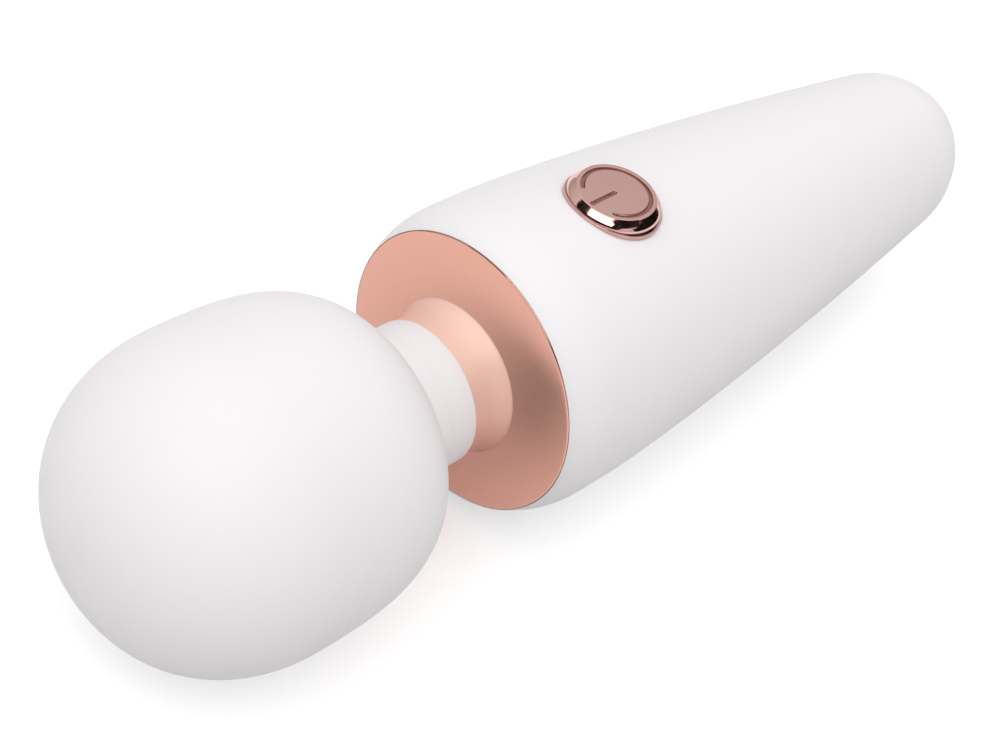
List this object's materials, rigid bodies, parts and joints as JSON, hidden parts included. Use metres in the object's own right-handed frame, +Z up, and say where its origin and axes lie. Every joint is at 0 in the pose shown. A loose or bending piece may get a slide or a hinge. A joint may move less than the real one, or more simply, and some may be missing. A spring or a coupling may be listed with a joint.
{
  "type": "wand massager",
  "caption": "Cordless wand body massager: a soft round head on a short flexible neck with a flared ring, a mirror collar, and a tapered handle with one push button.",
  "frame": {"origin": "middle of the bounding box's underside: the wand lies on its belly on z = 0, half way along its length", "axes": "+X along the wand towards the head's tip, +Z up through the button, +Y to the left when looking towards the head"},
  "size_m": [0.161, 0.0406, 0.042],
  "materials": {
    "silicone": "matte",
    "rose_gold": "polished",
    "casing": "satin",
    "rubber": "matte",
    "dark_plastic": "satin",
    "steel": "satin",
    "magnet": "polished",
    "copper": "satin",
    "gold": "polished",
    "board": "satin",
    "can": "satin",
    "wrap": "satin",
    "foam": "matte",
    "lead_red": "satin",
    "lead_black": "satin"
  },
  "bodies": {
    "handle": {"battery_cell": "wrap", "battery_foam": "foam", "battery_header": "casing", "battery_lead_black": "lead_black", "battery_lead_red": "lead_red", "battery_terminal": "steel", "board_screw_1": "steel", "board_screw_2": "steel", "board_screw_3": "steel", "button_bezel": "rose_gold", "capacitor": "can", "charge_chip": "dark_plastic", "charge_contact_left": "gold", "charge_contact_right": "gold", "charge_lead_black": "lead_black", "charge_lead_red": "lead_red", "collar": "rose_gold", "collar_seal": "rubber", "controller_chip": "dark_plastic", "dock_magnet_lower": "magnet", "dock_magnet_upper": "magnet", "handle_skin": "silicone", "inductor": "rubber", "lower_shell": "casing", "main_board": "board", "membrane_clamp": "casing", "motor_header": "casing", "motor_lead_black": "lead_black", "motor_lead_red": "lead_red", "neck_ring": "rose_gold", "neck_sleeve": "silicone", "neck_socket": "casing", "shell_screw_1": "steel", "shell_screw_2": "steel", "shell_screw_3": "steel", "shell_screw_4": "steel", "tact_switch": "dark_plastic", "tail_plug": "dark_plastic", "upper_shell": "casing"},
    "neck": {"neck_core": "rubber"},
    "head": {"head_skin": "silicone", "head_cup_front": "casing", "head_cup_rear": "casing", "motor_can": "steel", "motor_magnet": "magnet", "front_bearing": "copper", "rear_bearing": "copper", "motor_end_cap": "dark_plastic", "motor_terminal_left": "copper", "motor_terminal_right": "copper", "motor_boot": "rubber", "motor_bulkhead": "casing"},
    "rotor": {"motor_shaft": "steel", "motor_armature": "copper", "motor_commutator": "copper", "eccentric_weight": "steel"},
    "button": {"button_cap": "rose_gold", "button_membrane": "silicone"},
    "plunger": {"switch_plunger": "casing"}
  },
  "joints": [
    {"name": "neck_pitch", "type": "hinge", "parent": "handle", "child": "neck", "pos_m": [0.0342, 0, 0.02032], "axis": [0, 1, 0], "range_deg": [-10, 10], "stiffness_Nm_per_rad": 2, "deforming": ["neck_sleeve", "neck_core", "motor_lead_red", "motor_lead_black"]},
    {"name": "neck_yaw", "type": "hinge", "parent": "neck", "child": "head", "pos_m": [0.0342, 0, 0.02032], "axis": [0, 0, 1], "range_deg": [-10, 10], "stiffness_Nm_per_rad": 2, "deforming": ["neck_sleeve", "neck_core", "motor_lead_red", "motor_lead_black"]},
    {"name": "motor_spin", "type": "hinge", "parent": "head", "child": "rotor", "pos_m": [0.0645, 0, 0.02032], "axis": [1, 0, 0], "continuous": true},
    {"name": "button_press", "type": "slide", "parent": "handle", "child": "button", "axis": [0, 0, -1], "range_m": [0, 0.0006], "stiffness_N_per_m": 2500, "deforming": ["button_membrane"]},
    {"name": "switch_press", "type": "slide", "parent": "handle", "child": "plunger", "axis": [0, 0, -1], "range_m": [0, 0.00025]}
  ],
  "couplings": [
    {"joint": "switch_press", "follows": "button_press", "ratio": 0.4}
  ]
}
